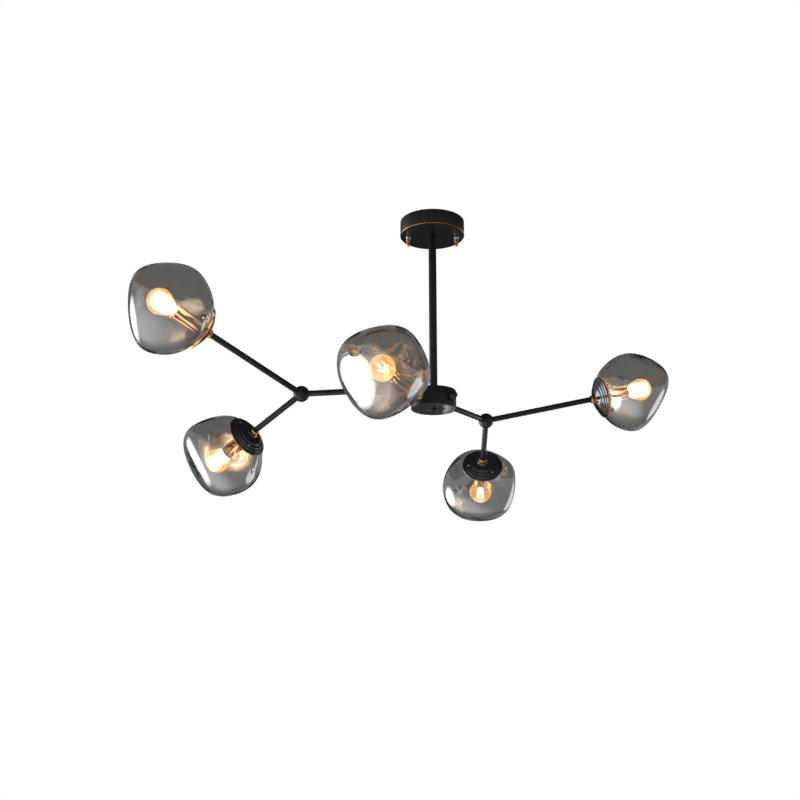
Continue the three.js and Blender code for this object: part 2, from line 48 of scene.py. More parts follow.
class Wire:
    """A socket of a finish. Sums, differences and products of wires add Math nodes."""

    def __init__(self, finish, socket):
        self.finish = finish
        self.socket = socket

    def maths(self, operation, first, second):
        sockets = {0: first, 1: second}
        return self.finish.node("ShaderNodeMath", 0, {"operation": operation}, sockets)

    def __add__(self, other):
        return self.maths("ADD", self, other)

    def __radd__(self, other):
        return self.maths("ADD", other, self)

    def __sub__(self, other):
        return self.maths("SUBTRACT", self, other)

    def __rsub__(self, other):
        return self.maths("SUBTRACT", other, self)

    def __mul__(self, other):
        return self.maths("MULTIPLY", self, other)

    def __rmul__(self, other):
        return self.maths("MULTIPLY", other, self)

    def __pow__(self, other):
        return self.maths("POWER", self, other)

    def rising(self, low, high):
        """0 below low, 1 above high, and a soft slope between them."""
        settings = {"interpolation_type": "SMOOTHSTEP"}
        sockets = {"Value": self, "From Min": low, "From Max": high}
        return self.finish.node("ShaderNodeMapRange", 0, settings, sockets)


class Finish:
    """The nodes of one finish, or of the studio's light, which start empty."""

    def __init__(self, owner):
        owner.use_nodes = True
        self.owner = owner
        self.tree = owner.node_tree
        self.tree.nodes.clear()

    def node(self, kind, out, settings=None, sockets=None):
        made = self.tree.nodes.new(kind)
        for name, value in (settings or {}).items():
            setattr(made, name, value)
        for name, value in (sockets or {}).items():
            if isinstance(value, Wire):
                self.tree.links.new(value.socket, made.inputs[name])
            else:
                made.inputs[name].default_value = value
        return Wire(self, made.outputs[out]) if out is not None else None

    def between(self, share, first, second):
        """A colour between two others."""
        return self.node("ShaderNodeMix", 2, {"data_type": "RGBA"}, {0: share, 6: first, 7: second})

    def noise(self, scale, detail=2.0, roughness=0.5):
        """Cloudy noise fixed to the piece, from 0 to 1. Scale is in patches a metre."""
        place = self.node("ShaderNodeTexCoord", "Object")
        sockets = {"Vector": place, "Scale": scale, "Detail": detail, "Roughness": roughness}
        return self.node("ShaderNodeTexNoise", 0, None, sockets)

    def bump(self, height, depth):
        return self.node("ShaderNodeBump", 0, None, {"Height": height, "Distance": depth})

    def principled(self, sockets):
        return self.node("ShaderNodeBsdfPrincipled", 0, None, sockets)

    def surface(self, shader):
        self.node("ShaderNodeOutputMaterial", None, None, {"Surface": shader})
        return self.owner


def soft_light(name, place, size, power):
    """A rectangle of light that faces the chandelier and doesn't show in the glass."""
    way = (chandelier_middle - Vector(place)).to_track_quat("-Z", "Y").to_euler()
    bpy.ops.object.light_add(type="AREA", location=place, rotation=way)
    lamp = bpy.context.object
    lamp.name = name
    lamp.data.shape = "RECTANGLE"
    lamp.data.size, lamp.data.size_y = size
    lamp.data.energy = power
    lamp.visible_glossy = False


camera_place = (-0.0632, -2.076, -0.9643)
camera_lift = radians(106.14)
camera_lens = 51.75
camera_sensor = 36
bpy.ops.object.select_all(action="DESELECT")
bpy.ops.object.camera_add(location=camera_place, rotation=(camera_lift, 0, 0))
camera = bpy.context.object
camera.data.lens = camera_lens
camera.data.sensor_width = camera_sensor
bpy.context.scene.camera = camera
bpy.context.scene.view_settings.view_transform = "Standard"

chandelier_middle = Vector((0, 0, -0.35))
soft_light("soft_light_left", place=(-1.9, -1.5, -0.2), size=(1.4, 1.6), power=16)
soft_light("soft_light_right", place=(1.8, -1.2, 0.3), size=(0.8, 1.4), power=7)

studio = Finish(bpy.data.worlds.new("studio"))
bpy.context.scene.world = studio.owner
way = studio.node("ShaderNodeTexCoord", "Generated")
across = studio.node("ShaderNodeSeparateXYZ", "X", None, {0: way})
back = studio.node("ShaderNodeSeparateXYZ", "Y", None, {0: way})
rise = studio.node("ShaderNodeSeparateXYZ", "Z", None, {0: way})
seen = studio.node("ShaderNodeLightPath", "Is Camera Ray")
let_in = studio.node("ShaderNodeLightPath", "Is Transmission Ray")
glossy = studio.node("ShaderNodeLightPath", "Is Glossy Ray")
ceiling = (rise + 0.2 * across).rising(0.42, 0.45)
left_panel = (0.35 * back - 0.92 * across - 0.17 * rise).rising(0.86, 0.96)
left_wash = (0 - 0.6 * across - 0.8 * rise).rising(0.3, 1.1)
right_strip = (0.78 * across + 0.59 * back - 0.2 * rise).rising(0.92, 0.965)
low_behind = back.rising(0.2, 0.7) * (0 - rise).rising(0.25, 0.5)
far_edge = (back - 0.25 * across).rising(0.86, 0.95)
walls_glow = 0.34
wash_glow = 1.35
panel_glow = 4.2
strip_glow = 1.9
fill_glow = 0.92
low_shade = 0.75
ceiling_shade = 0.97
edge_shade = 0.9
walls = (walls_glow + wash_glow * left_wash) * (1 - low_shade * low_behind)
room = walls + panel_glow * left_panel + strip_glow * right_strip
mirrored = room * (1 - ceiling_shade * ceiling) * (1 - edge_shade * far_edge)
# The camera and what the glass lets in see plain white. Mirrors see the room, all else a fill.
backdrop = seen + let_in
strength = backdrop + (1 - backdrop) * (glossy * mirrored + (1 - glossy) * fill_glow)
white = (1, 1, 1, 1)
background = studio.node("ShaderNodeBackground", 0, None, {"Color": white, "Strength": strength})
studio.node("ShaderNodeOutputWorld", None, None, {"Surface": background})

floor_radius = 18
floor_height = -2.4
bpy.ops.mesh.primitive_circle_add(
    vertices=96, radius=floor_radius, fill_type="NGON", location=(0, 0, floor_height),
)
floor = bpy.context.object
floor.name = "floor"
paint = Finish(bpy.data.materials.new("pale_floor"))
pale = paint.between(paint.noise(3), (0.8, 0.8, 0.8, 1), (0.84, 0.84, 0.84, 1))
floor.data.materials.append(paint.surface(paint.principled({"Base Color": pale, "Roughness": 0.7})))
floor.visible_glossy = False


# Ceiling bracket with its studs, the terminal block and the nuts and tubes that hide inside:
# plain zinc-plated steel and moulded plastic, screwed together out of sight above the canopy.

def metal(name, dull, bright, smooth, rough, patches, depth=0.0, metallic=1.0):
    """Plated or bare metal: a colour and a sheen that drift from patch to patch."""
    finish = Finish(bpy.data.materials.new(name))
    cloud = finish.noise(patches, detail=3)
    sockets = {
        "Base Color": finish.between(cloud.rising(0.3, 0.7), (*dull, 1), (*bright, 1)),
        "Metallic": metallic,
        "Roughness": smooth + (rough - smooth) * cloud,
    }
    if depth:
        sockets["Normal"] = finish.bump(finish.noise(patches * 6, detail=4), depth)
    return finish.surface(finish.principled(sockets))


def finished(node, finish):
    """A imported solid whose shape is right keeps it, and takes a finish."""
    frame["nodes"][node].data.materials.clear()
    frame["nodes"][node].data.materials.append(finish)


zinc = metal(
    "zinc_plate", dull=(0.38, 0.39, 0.4), bright=(0.54, 0.55, 0.56),
    smooth=0.28, rough=0.46, patches=220, depth=0.00004, metallic=0.5,
)
hidden_steel = [
    "ceiling_bracket",
    "mounting_stud_left",
    "mounting_stud_right",
    "stem_upper_nipple",
    "canopy_lock_nut",
    "hub_centre_rod",
    "hub_lock_nut",
    "port_lock_nut_front",
    "port_lock_nut_right",
]
for node in hidden_steel:
    finished(node, zinc)

ivory = Finish(bpy.data.materials.new("ivory_plastic"))
speckle = ivory.noise(900)
ivory_face = ivory.principled({
    "Base Color": ivory.between(speckle, (0.72, 0.68, 0.58, 1), (0.8, 0.76, 0.66, 1)),
    "Roughness": 0.42 + 0.12 * speckle,
    "Normal": ivory.bump(speckle, 0.00003),
})
finished("terminal_block", ivory.surface(ivory_face))


# Canopy: a spun steel drum, powder coated satin black, with a bead of brass let into its lower
# edge. It covers the bracket and hangs on the two studs.

mm = 0.001
bevel_above = radians(28)
smooth_below = radians(35)


def smoothed(piece, below=smooth_below):
    """Shades a piece smooth, but for the edges where its faces meet at more than an angle."""
    bpy.ops.object.select_all(action="DESELECT")
    piece.select_set(True)
    bpy.context.view_layer.objects.active = piece
    bpy.ops.object.shade_smooth_by_angle(angle=below)


def turned(name, stations, sides, finish, ends=True, soft=0.0):
    """A piece turned about Z, from station to station, each a radius and a height in mm."""
    bpy.ops.object.select_all(action="DESELECT")
    radius, height = (size * mm for size in stations[0])
    fill = "NGON" if ends else "NOTHING"
    start = (0, 0, height)
    bpy.ops.mesh.primitive_circle_add(vertices=sides, radius=radius, fill_type=fill, location=start)
    piece = bpy.context.object
    piece.name = piece.data.name = name
    bpy.ops.object.transform_apply(location=True, rotation=False, scale=False)
    bpy.ops.object.mode_set(mode="EDIT")
    bpy.ops.mesh.select_all(action="SELECT")
    for station in stations[1:]:
        wide, high = (size * mm for size in station)
        bpy.ops.mesh.extrude_region_move(TRANSFORM_OT_translate={"value": (0, 0, high - height)})
        share = wide / radius
        bpy.ops.transform.resize(value=(share, share, 1), center_override=(0, 0, high))
        radius, height = wide, high
    bpy.ops.mesh.select_all(action="SELECT")
    bpy.ops.mesh.remove_doubles(threshold=0.002 * mm)
    bpy.ops.mesh.normals_make_consistent(inside=False)
    if soft:
        bpy.ops.mesh.select_mode(type="EDGE")
        bpy.ops.mesh.select_all(action="DESELECT")
        bpy.ops.mesh.edges_select_sharp(sharpness=bevel_above)
        bpy.ops.mesh.bevel(offset=soft * mm, segments=3, affect="EDGES")
        bpy.ops.mesh.select_mode(type="VERT")
    bpy.ops.object.mode_set(mode="OBJECT")
    smoothed(piece)
    piece.data.materials.append(finish)
    return piece


def fixed(piece, body, slot, *nodes):
    """Puts a finished piece on its body, for the plain solids that it stands for."""
    if nodes:
        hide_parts(*nodes)
    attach(piece, body)


coat = Finish(bpy.data.materials.new("satin_black_coat"))
peel = coat.noise(1100, detail=3, roughness=0.6)
drift = coat.noise(45, detail=3)
satin_black = coat.surface(coat.principled({
    "Base Color": coat.between(drift, (0.006, 0.006, 0.0063, 1), (0.0095, 0.0095, 0.0098, 1)),
    "Roughness": 0.27 + 0.1 * drift + 0.04 * peel,
    "Specular IOR Level": 0.3,
    "Normal": coat.bump(peel, 0.000007),
}))
brass = metal(
    "polished_brass", dull=(0.55, 0.33, 0.11), bright=(0.72, 0.47, 0.19),
    smooth=0.16, rough=0.28, patches=260, depth=0.00001,
)

nipple_bore = 5.15
canopy_radius = 62.5
canopy_foot = -30
canopy_sheet = 1.5
canopy_inside = canopy_radius - canopy_sheet
canopy_bottom = canopy_foot + canopy_sheet
lip_radius = 62.3
seat_radius = 61.6
seat_foot = -29.6
seat_top = -28
canopy = turned("canopy_drum", [
    (nipple_bore, canopy_foot), (lip_radius, canopy_foot), (lip_radius, seat_foot),
    (seat_radius, seat_foot), (seat_radius, seat_top), (canopy_radius, seat_top),
    (canopy_radius, 0), (canopy_inside, 0), (canopy_inside, canopy_bottom),
    (nipple_bore, canopy_bottom), (nipple_bore, canopy_foot),
], sides=96, finish=satin_black, ends=False, soft=0.35)
fixed(canopy, "ceiling_mount", "satin_black", "canopy_shell")

bead_root = 61.9
bead_foot = -29.5
bead_top = -28.3
bead = turned("canopy_brass_line", [
    (bead_root, bead_foot), (canopy_radius, bead_foot), (62.8, -29.2), (62.85, -28.9),
    (62.8, -28.6), (canopy_radius, bead_top), (bead_root, bead_top), (bead_root, bead_foot),
], sides=96, finish=brass, ends=False)
fixed(bead, "ceiling_mount", "brass", "canopy_trim_ring")


# Canopy fixings: on each stud a chrome post stands against the drum, and a ball-ended brass nut
# below it pulls the drum up. The nuts are turned from bar, with a groove and a neck under the
# ball.

def placed(piece, name, spot):
    """A copy of a piece, with a mesh of its own, at its spot."""
    twin = piece.copy()
    twin.data = piece.data.copy()
    twin.name = twin.data.name = name
    twin.data.transform(spot)
    bpy.context.collection.objects.link(twin)
    return twin


def arc(radius, centre, start, end, steps):
    """Stations along a round, its angles in degrees above the level of its centre."""
    angles = [radians(start + (end - start) * step / steps) for step in range(steps + 1)]
    return [(max(radius * cos(angle), 0), centre + radius * sin(angle)) for angle in angles]


groove_depth = 0.3


def groove(radius, middle, width, slope=0.3):
    """Stations of a shallow turned groove, from its lower edge to its upper one."""
    root = radius - groove_depth
    foot, top = middle - width / 2, middle + width / 2
    return [(radius, foot), (root, foot + slope), (root, top - slope), (radius, top)]


chrome = metal(
    "polished_chrome", dull=(0.68, 0.69, 0.7), bright=(0.8, 0.81, 0.82),
    smooth=0.05, rough=0.11, patches=150,
)
stud_spread = 47
stud_bore = 2.3
post_radius = 4.4
post_foot = -36.3
post_top = -30.3
post_edge = 0.4
post = turned("canopy_post", [
    (stud_bore, post_foot), (post_radius - post_edge, post_foot),
    (post_radius, post_foot + post_edge), *groove(post_radius, middle=-33.8, width=1),
    (post_radius, post_top - post_edge), (post_radius - post_edge, post_top),
    (stud_bore, post_top), (stud_bore, post_foot),
], sides=40, finish=chrome, ends=False)

nut_radius = 4
nut_top = -36.6
nut_foot = -43.1
nut_edge = 0.4
neck_radius = 2.9
nut = turned("canopy_nut", [
    (stud_bore, -42.9), (stud_bore, nut_top), (nut_radius - nut_edge, nut_top),
    (nut_radius, nut_top - nut_edge), *reversed(groove(nut_radius, middle=-39.6, width=1.2)),
    (nut_radius, nut_foot + nut_edge), (nut_radius - nut_edge, nut_foot), (neck_radius, -43.4),
    (neck_radius, -44.3), *arc(radius=3.8, centre=-47.79, start=42, end=-90, steps=14),
], sides=40, finish=brass)
for side, label in ((-1, "left"), (1, "right")):
    spot = Matrix.Translation((side * stud_spread * mm, 0, 0))
    post_copy = placed(post, f"canopy_post_{label}_chrome", spot)
    fixed(post_copy, "ceiling_mount", "chrome", f"canopy_post_{label}")
    nut_copy = placed(nut, f"canopy_nut_{label}_brass", spot)
    fixed(nut_copy, f"canopy_nut_{label}", "brass", f"canopy_nut_{label}")
bpy.data.objects.remove(post)
bpy.data.objects.remove(nut)


# Stem: a drawn steel tube in the same black coat, with a threaded insert at each end that takes
# the nipple of the canopy and the rod of the hub.

stem_radius = 7.5
stem_inside = 6.2
stem_top = -30.3
stem_foot = -346.3
insert_length = 14
upper_insert = stem_top - insert_length
lower_insert = stem_foot + insert_length
stem = turned("stem", [
    (nipple_bore, stem_foot), (stem_radius, stem_foot), (stem_radius, stem_top),
    (nipple_bore, stem_top), (nipple_bore, upper_insert), (stem_inside, upper_insert),
    (stem_inside, lower_insert), (nipple_bore, lower_insert), (nipple_bore, stem_foot),
], sides=48, finish=satin_black, ends=False, soft=0.4)
fixed(stem, "stem_and_hub", "satin_black", "stem_tube")


# Hub: a shallow black drum with ports in its side, closed below by a dark satin plate that is
# drawn up by a small round cap nut. The port that this chandelier doesn't use has a turned plug.

def cut(piece, cutter):
    """Cuts one solid out of a piece, and clears the cutter away."""
    trim = piece.modifiers.new("cut", "BOOLEAN")
    trim.operation = "DIFFERENCE"
    trim.solver = "EXACT"
    trim.object = cutter
    bpy.context.view_layer.objects.active = piece
    bpy.ops.object.modifier_apply(modifier=trim.name)
    bpy.data.objects.remove(cutter)


def along(start, way):
    """The spot whose own +Z runs from a point along a direction."""
    turn = Vector((0, 0, 1)).rotation_difference(Vector(way))
    return Matrix.Translation(start) @ turn.to_matrix().to_4x4()


def drilled(piece, start, way, radius, first, last):
    """A round hole in a piece, from one distance to another along a direction."""
    finish = piece.data.materials[0]
    bore = turned("drill", [(radius, first), (radius, last)], sides=40, finish=finish)
    bore.data.transform(along(start, way))
    cut(piece, bore)


hub_middle = Vector(joints["right_branch_roll"]["pos_m"])
right_way = Vector(joints["right_branch_roll"]["axis"])
front_way = Vector(joints["front_branch_roll"]["axis"])
spare_turn = radians(315)
spare_way = Vector((cos(spare_turn), sin(spare_turn), 0))
hub_radius = 42.5
hub_top = -346.6
hub_foot = -381.6
hub_wall = 2
hub_inside = hub_radius - hub_wall
hub_roof = hub_top - hub_wall
hub_edge = 1.2
hub_corner = 0.35
drum = turned("hub_drum_shell", [
    (nipple_bore, hub_top), (hub_radius - hub_edge, hub_top),
    (hub_radius - hub_corner, hub_top - hub_corner), (hub_radius, hub_top - hub_edge),
    (hub_radius, hub_foot), (hub_inside, hub_foot), (hub_inside, hub_roof),
    (nipple_bore, hub_roof), (nipple_bore, hub_top),
], sides=96, finish=satin_black, ends=False, soft=0.3)
tip_bore = 4.7
for way in (right_way, front_way, spare_way):
    drilled(drum, hub_middle, way, tip_bore, first=38, last=45)
smoothed(drum)
fixed(drum, "stem_and_hub", "satin_black", "hub_drum")

plate_finish = Finish(bpy.data.materials.new("dark_satin_plate"))
place = plate_finish.node("ShaderNodeTexCoord", "Object")
settings = {"wave_type": "RINGS", "rings_direction": "Z"}
sockets = {"Vector": place, "Scale": 260, "Distortion": 1.5, "Detail": 2, "Detail Scale": 2}
lathe_marks = plate_finish.node("ShaderNodeTexWave", 1, settings, sockets)
haze = plate_finish.noise(60, detail=3)
dark_plate = plate_finish.surface(plate_finish.principled({
    "Base Color": plate_finish.between(haze, (0.24, 0.24, 0.243, 1), (0.3, 0.3, 0.304, 1)),
    "Metallic": 0.9,
    "Roughness": 0.1 + 0.06 * haze + 0.03 * lathe_marks,
    "Normal": plate_finish.bump(lathe_marks, 0.000012),
}))
rod_bore = 3.2
plate_radius = 40.2
plate_foot = -381.2
plate_top = -379.2
plate_edge = 0.3
plate = turned("hub_plate", [
    (rod_bore, plate_foot), (plate_radius - plate_edge, plate_foot),
    (plate_radius, plate_foot + plate_edge), (plate_radius, plate_top),
    (rod_bore, plate_top), (rod_bore, plate_foot),
], sides=96, finish=dark_plate, ends=False, soft=0.2)
fixed(plate, "stem_and_hub", "dark_plate", "hub_bottom_plate")

cap_radius = 6
cap_top = -381.5
cap_edge = 0.3
cap_nut = turned("hub_cap", [
    (rod_bore, -385.6), (rod_bore, cap_top), (cap_radius - cap_edge, cap_top),
    (cap_radius, cap_top - cap_edge), (cap_radius, -384.6), (5.6, -385.7), (4.7, -386.5),
    (3.2, -386.9), (0, -387),
], sides=48, finish=satin_black)
fixed(cap_nut, "stem_and_hub", "satin_black", "hub_cap_nut")

tip_radius = 4.4
port_seat = 42.8
plug = turned("hub_plug", [
    (tip_radius, 40.2), (tip_radius, port_seat), (6.24, port_seat), (7, 43.4), (7.8, 45.4),
    (7.8, 46.4), (7.75, 48.3), (7.41, 50.8), (6.7, 53.2), (5.6, 55.4), (4.2, 56.9),
    (2.2, 57.7), (0, 57.8),
], sides=48, finish=satin_black)
plug.data.transform(along(hub_middle, spare_way))
fixed(plug, "stem_and_hub", "satin_black", "side_port_plug")


# Branches: black tubes that leave the hub through brass ring nuts, and balls bored with a socket
# for each tube. Behind the front shade a hidden ball sends one tube left and carries the front
# lamp.

arm_radius = 5.5
arm_fit = 5.8
arm_bore = 3
ring_radius = 8
ring_length = 5


def ring_nut(name, spot, body, node):
    """A turned brass collar, its seat at the origin of its spot."""
    ring = turned(name, [
        (arm_fit, 0), (7.2, 0), (7.8, 0.5), (ring_radius, 1.1),
        *groove(ring_radius, middle=ring_length / 2, width=1),
        (ring_radius, 3.9), (7.8, 4.5), (7.2, ring_length), (arm_fit, ring_length), (arm_fit, 0),
    ], sides=48, finish=brass, ends=False)
    ring.data.transform(spot)
    fixed(ring, body, "brass", node)


def arm(name, start, way, stations, body, node):
    """A tube from a point along a direction. The stations give its outside."""
    first, last = stations[0][1], stations[-1][1]
    tube = turned(name, [
        (arm_bore, first), *stations, (arm_bore, last), (arm_bore, first),
    ], sides=40, finish=satin_black, ends=False, soft=0.25)
    tube.data.transform(along(start, way))
    fixed(tube, body, "satin_black", node)


ball_seat = 7.3
tip_start = 35.1
front_centre = Vector(joints["left_branch_roll"]["pos_m"])
link_way = Vector(joints["left_branch_roll"]["axis"])
link_reach = 192
left_centre = front_centre + link_way * link_reach * mm
right_reach = 183.5
right_centre = hub_middle + right_way * right_reach * mm
front_reach = (front_centre - hub_middle).length / mm
for label, way, reach in (("front", front_way, front_reach), ("right", right_way, right_reach)):
    stations = [
        (tip_radius, tip_start), (tip_radius, port_seat),
        (arm_radius, port_seat), (arm_radius, reach - ball_seat),
    ]
    arm(f"hub_arm_{label}", hub_middle, way, stations, f"{label}_branch", f"{label}_hub_arm")
    spot = along(hub_middle + way * port_seat * mm, way)
    ring_nut(f"hub_ring_{label}", spot, f"{label}_branch", f"hub_ring_nut_{label}")
stations = [(arm_radius, ball_seat), (arm_radius, link_reach - ball_seat)]
arm("link_arm", front_centre, link_way, stations, "left_branch", "left_link_arm")

ball_radius = 15
socket_floor = 7
beyond_floor = 8
beyond_ball = 20
wire_hole = 2.5


def ball(label, centre, ways):
    """A ball with a socket and a wire hole for each arm that leaves it."""
    bpy.ops.object.select_all(action="DESELECT")
    bpy.ops.mesh.primitive_uv_sphere_add(
        segments=64, ring_count=40, radius=ball_radius * mm, location=centre,
    )
    sphere = bpy.context.object
    sphere.name = sphere.data.name = f"joint_ball_{label}"
    bpy.ops.object.transform_apply(location=True, rotation=False, scale=False)
    sphere.data.materials.append(satin_black)
    for way in ways:
        drilled(sphere, centre, way, arm_fit, first=socket_floor, last=beyond_ball)
        drilled(sphere, centre, way, wire_hole, first=0, last=beyond_floor)
    smoothed(sphere)
    fixed(sphere, f"{label}_branch", "satin_black", f"{label}_ball")


lamps = {
    "upper_left": "left",
    "lower_left": "left",
    "front": "front",
    "far_right": "right",
    "rear": "right",
}
crown = {name: Vector(joints[f"shade_{name}_turn"]["pos_m"]) for name in lamps}
lamp_way = {name: Vector(joints[f"shade_{name}_turn"]["axis"]).normalized() for name in lamps}
lamp_spot = {name: along(crown[name], lamp_way[name]) for name in lamps}
ball("front", front_centre, [-front_way, link_way, lamp_way["front"]])
ball("left", left_centre, [-link_way, lamp_way["upper_left"], lamp_way["lower_left"]])
ball("right", right_centre, [-right_way, lamp_way["far_right"], lamp_way["rear"]])

ball_centre = {"front": front_centre, "left": left_centre, "right": right_centre}
crown_gap = 0.3
tip_length = 11
for name, branch in lamps.items():
    centre = ball_centre[branch]
    reach = (crown[name] - centre).length / mm
    shoulder = reach - crown_gap
    stations = [
        (arm_radius, ball_seat), (arm_radius, shoulder),
        (tip_radius, shoulder), (tip_radius, reach + tip_length),
    ]
    arm(f"arm_{name}", centre, lamp_way[name], stations, f"{branch}_branch", f"lamp_arm_{name}")
    spot = along(crown[name] - lamp_way[name] * (ring_length + crown_gap) * mm, lamp_way[name])
    ring_nut(f"ring_{name}", spot, f"{branch}_branch", f"arm_ring_nut_{name}")


# Cups: domes of steel spun in steps, with a rolled rim over the edge of the glass. Inside, the
# faces turned to the bulb are painted copper with a patchy glow: a painted reflection of the bulb
# and its light. Three slotted screws go through the second step of each, and end inside in small
# round nuts.

gloss = Finish(bpy.data.materials.new("gloss_black_coat"))
gloss_peel = gloss.noise(700, detail=3, roughness=0.6)
gloss_drift = gloss.noise(60, detail=3)
gloss_black = gloss.surface(gloss.principled({
    "Base Color": gloss.between(gloss_drift, (0.007, 0.007, 0.0073, 1), (0.011, 0.011, 0.0113, 1)),
    "Roughness": 0.12 + 0.1 * gloss_drift,
    "IOR": 1.6,
    "Coat Weight": 0.8,
    "Coat Roughness": 0.1,
    "Normal": gloss.bump(gloss_peel, 0.00001),
}))
cup_radius = 42
cup_depth = 20
cup_floor = 1.5
cup = turned("cup", [
    (tip_bore, 0), (9.2, 0), (10.4, 0.9), (11.3, 3.2), (14, 4.6), (19, 5.8), (25.2, 7.2),
    (25.9, 7.9), (26, 9), (28, 9.9), (31.5, 10.6), (32.2, 11.3), (32.3, 12.4), (34, 13),
    (36.1, 13.6), (36.8, 14.2), (37, 15.2), (38.6, 15.8), (40.3, 16.4), (41.4, 17),
    (cup_radius, 18), (cup_radius, 19.2), (41.4, cup_depth), (39.5, cup_depth), (39.5, 17.9),
    (32.3, 13.9), (25.2, 9.5), (11.3, 4.7), (8.4, cup_floor), (tip_bore, cup_floor), (tip_bore, 0),
], sides=96, finish=gloss_black, ends=False)
# The lining's copper colour and patchy glow are painted: the bulb's reflection and light inside the
# cup.
lining = Finish(bpy.data.materials.new("bulb_lit_lining"))
glow_patches = lining.noise(55, detail=3)
painted_glow = glow_patches.rising(0.42, 0.62)
cup.data.materials.append(lining.surface(lining.principled({
    "Base Color": lining.between(glow_patches, (0.62, 0.3, 0.1, 1), (0.8, 0.43, 0.17, 1)),
    "Metallic": 1.0,
    "Roughness": 0.3 + 0.15 * glow_patches,
    "Emission Color": lining.between(painted_glow, (0.05, 0.018, 0.005, 1), (1, 0.43, 0.12, 1)),
    "Emission Strength": 1.3,
})))
# Faces that turn towards the bulb take the lining, with its painted reflection and glow.
facing_bulb = 0.3
for face in cup.data.polygons:
    face.material_index = int(face.normal.z > facing_bulb)

steel_screw = metal(
    "nickel_screw", dull=(0.5, 0.49, 0.47), bright=(0.66, 0.65, 0.62),
    smooth=0.14, rough=0.26, patches=400,
)
screw = turned("cup_screw", [
    (1.1, 6), (1.1, -0.2), (2.1, -0.2), (2.2, -0.5), (2, -1), (1.4, -1.4), (0, -1.55),
], sides=28, finish=steel_screw)
slot_middle = -1.5
slot_size = (6, 0.6, 1.1)
bpy.ops.object.select_all(action="DESELECT")
bpy.ops.mesh.primitive_cube_add(size=1, location=(0, 0, slot_middle * mm))
bpy.ops.transform.resize(value=[size * mm for size in slot_size])
bpy.ops.object.transform_apply(location=True, rotation=False, scale=True)
cut(screw, bpy.context.object)
round_nut = turned(
    "cup_round_nut", arc(radius=2.6, centre=4.4, start=-90, end=90, steps=12),
    sides=28, finish=satin_black,
)


def swung(spot, turn):
    """A spot turned about its own Z, in degrees."""
    return spot @ Matrix.Rotation(radians(turn), 4, "Z")


screw_turns = (50, 170, 290)
screw_ring = 29.5
screw_seat = 10.3
on_step = Matrix.Translation((screw_ring * mm, 0, screw_seat * mm))
for name, branch in lamps.items():
    body = f"{branch}_branch"
    cup_copy = placed(cup, f"cup_{name}", lamp_spot[name])
    fixed(cup_copy, body, "satin_black", f"shade_cup_{name}")
    for number, turn in enumerate(screw_turns):
        spot = swung(lamp_spot[name], turn) @ on_step
        fixed(placed(screw, f"cup_screw_{name}_{number}", spot), body, "chrome")
        fixed(placed(round_nut, f"cup_round_nut_{name}_{number}", spot), body, "satin_black")
for piece in (cup, screw, round_nut):
    bpy.data.objects.remove(piece)


# Lamp holders: a moulded socket in a plated sleeve of polished bronze, screwed on the tip of the
# arm. The sleeve has a flange at its foot, a groove at half height and a rolled lip round the
# bulb.

def vector(finish, operation, sockets, out=0):
    """Vector maths on places and directions."""
    return finish.node("ShaderNodeVectorMath", out, {"operation": operation}, sockets)


def up_the_lamp(finish, start, way):
    """Where a point is, seen from the crown of its lamp, and how far that is along the lamp."""
    place = finish.node("ShaderNodeTexCoord", "Object")
    from_crown = vector(finish, "SUBTRACT", {0: place, 1: start})
    height = vector(finish, "DOT_PRODUCT", {0: from_crown, 1: way}, "Value")
    return from_crown, height


def lowered(finish, from_crown, way, drop):
    """A place brought back by some length along the lamp."""
    step = vector(finish, "SCALE", {0: way, "Scale": drop})
    return vector(finish, "SUBTRACT", {0: from_crown, 1: step})


def bronze_sleeve(name, start, way):
    """Polished bronze. The bulb's light on it is painted, as a glow in streaks from its lip to its
    foot.
    """
    finish = Finish(bpy.data.materials.new(f"bronze_sleeve_{name}"))
    from_crown, height = up_the_lamp(finish, start, way)
    # The streaks run along the lamp: painted reflections of the bulb, in the bronze's colour and
    # sheen and in its glow.
    drawn = lowered(finish, from_crown, way, height * 0.9)
    sockets = {"Vector": drawn, "Scale": 170, "Detail": 1.0}
    streak = finish.node("ShaderNodeTexNoise", 0, None, sockets)
    # The painted glow of the bulb is strongest near the lip.
    glow = (0.25 + 0.75 * height.rising(0.01, 0.07)) * streak.rising(0.5, 0.62)
    return finish.surface(finish.principled({
        "Base Color": finish.between(streak, (0.2, 0.1, 0.035, 1), (0.5, 0.28, 0.1, 1)),
        "Metallic": 1.0,
        "Roughness": 0.08 + 0.1 * streak,
        "Emission Color": finish.between(glow, (0.004, 0.0015, 0.0004, 1), (1, 0.5, 0.16, 1)),
        "Emission Strength": 7,
    }))


holder_foot = 1.8
holder_top = 73.8
sleeve_radius = 13.5
flange_radius = 14
socket_radius = 7.2
socket_foot = 51.8
wire_way = 3.3
tip_end = tip_length + crown_gap
holder = turned("holder", [
    (tip_bore, holder_foot), (7.6, holder_foot), (8, 2.2), (8, 6.8), (13.2, 6.8), (13.9, 7.3),
    (flange_radius, 8.4), (sleeve_radius, 9),
    *groove(sleeve_radius, middle=39.8, width=1.6, slope=0.4),
    (sleeve_radius, 70.4), (flange_radius, 71.2), (flange_radius, 72.6), (sleeve_radius, 73.6),
    (12.8, holder_top), (socket_radius, holder_top), (socket_radius, socket_foot),
    (wire_way, socket_foot), (wire_way, tip_end), (tip_bore, tip_end), (tip_bore, holder_foot),
], sides=56, finish=brass, ends=False)
for name, branch in lamps.items():
    piece = placed(holder, f"holder_{name}", lamp_spot[name])
    piece.data.materials[0] = bronze_sleeve(name, crown[name], lamp_way[name])
    fixed(piece, f"{branch}_branch", "bronze_sleeve", f"lamp_holder_{name}")
bpy.data.objects.remove(holder)


# Bulbs: clear golf-ball bulbs with four lit filaments on a glass stem, and a nickel screw base
# that sits in the holder. They glow warm, and the glass takes the glow round its edge.

